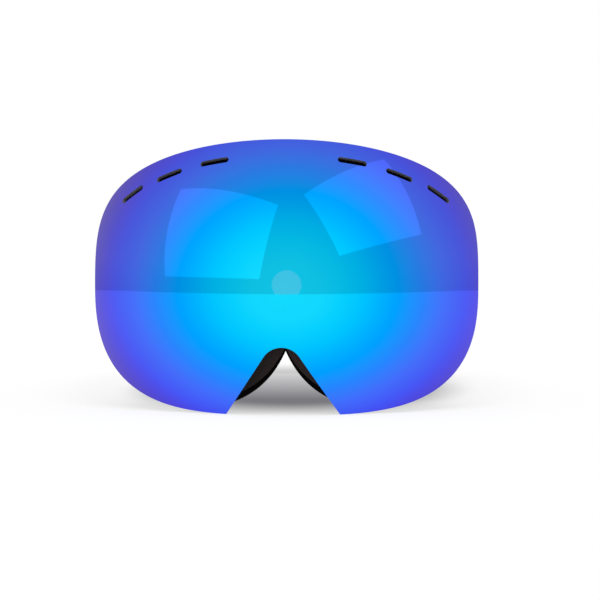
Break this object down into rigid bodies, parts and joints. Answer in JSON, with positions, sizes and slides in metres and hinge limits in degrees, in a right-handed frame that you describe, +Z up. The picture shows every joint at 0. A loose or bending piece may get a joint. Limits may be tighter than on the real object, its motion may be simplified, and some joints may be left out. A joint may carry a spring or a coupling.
{
  "type": "ski goggles",
  "caption": "Frameless ski goggles with a spherical mirrored double lens, vented frame, layered face foam, hinged strap arms and an adjustable elastic strap.",
  "frame": {"origin": "centre of the bounding box in plan, at the level surface the goggles stand on", "axes": "+Y from the lens towards the face and the back of the strap, +Z up, +X towards the wearer's left"},
  "size_m": [0.176, 0.2621, 0.1232],
  "materials": {
    "lens": "blue interference mirror coating on polycarbonate",
    "inner_lens": "clear, anti-fog",
    "gasket": "closed-cell foam tape",
    "carrier": "fine moulded texture",
    "frame": "matte flexible polyurethane",
    "foam": "open-cell foam",
    "fleece": "brushed microfleece",
    "pin": "plain steel",
    "arm": "satin nylon",
    "strap": "woven elastic webbing",
    "silicone": "satin silicone",
    "adjuster": "satin nylon"
  },
  "bodies": {
    "face_frame": {"face_frame": "frame", "vent_foam_top": "foam", "vent_foam_low": "foam", "foam_base": "foam", "foam_mid": "foam", "foam_fleece": "fleece", "hinge_pin_left": "pin", "hinge_pin_right": "pin", "strap_band": "strap", "strap_grip": "silicone", "strap_tail_left": "strap", "strap_tail_right": "strap"},
    "lens_unit": {"outer_lens": "lens", "lens_gasket": "gasket", "inner_lens": "inner_lens", "lens_carrier": "carrier"},
    "arm_left": {"strap_arm_left": "arm", "strap_loop_left": "strap"},
    "arm_right": {"strap_arm_right": "arm", "strap_loop_right": "strap"},
    "adjuster_left": {"strap_adjuster_left": "adjuster"},
    "adjuster_right": {"strap_adjuster_right": "adjuster"}
  },
  "joints": [
    {"name": "lens_pull", "type": "slide", "parent": "face_frame", "child": "lens_unit", "axis": [0, -1, 0], "range_m": [0, 0.03]},
    {"name": "arm_hinge_left", "type": "hinge", "parent": "face_frame", "child": "arm_left", "pos_m": [0.083, -0.07107, 0.06188], "axis": [0, 0.1045, 0.9945], "range_deg": [-20, 4]},
    {"name": "arm_hinge_right", "type": "hinge", "parent": "face_frame", "child": "arm_right", "pos_m": [-0.083, -0.07107, 0.06188], "axis": [0, 0.1045, 0.9945], "range_deg": [-4, 20]},
    {"name": "adjuster_slide_left", "type": "slide", "parent": "face_frame", "child": "adjuster_left", "axis": [0, 0.9945, -0.1045], "range_m": [-0.016, 0.016]},
    {"name": "adjuster_slide_right", "type": "slide", "parent": "face_frame", "child": "adjuster_right", "axis": [0, 0.9945, -0.1045], "range_m": [-0.016, 0.016]}
  ]
}
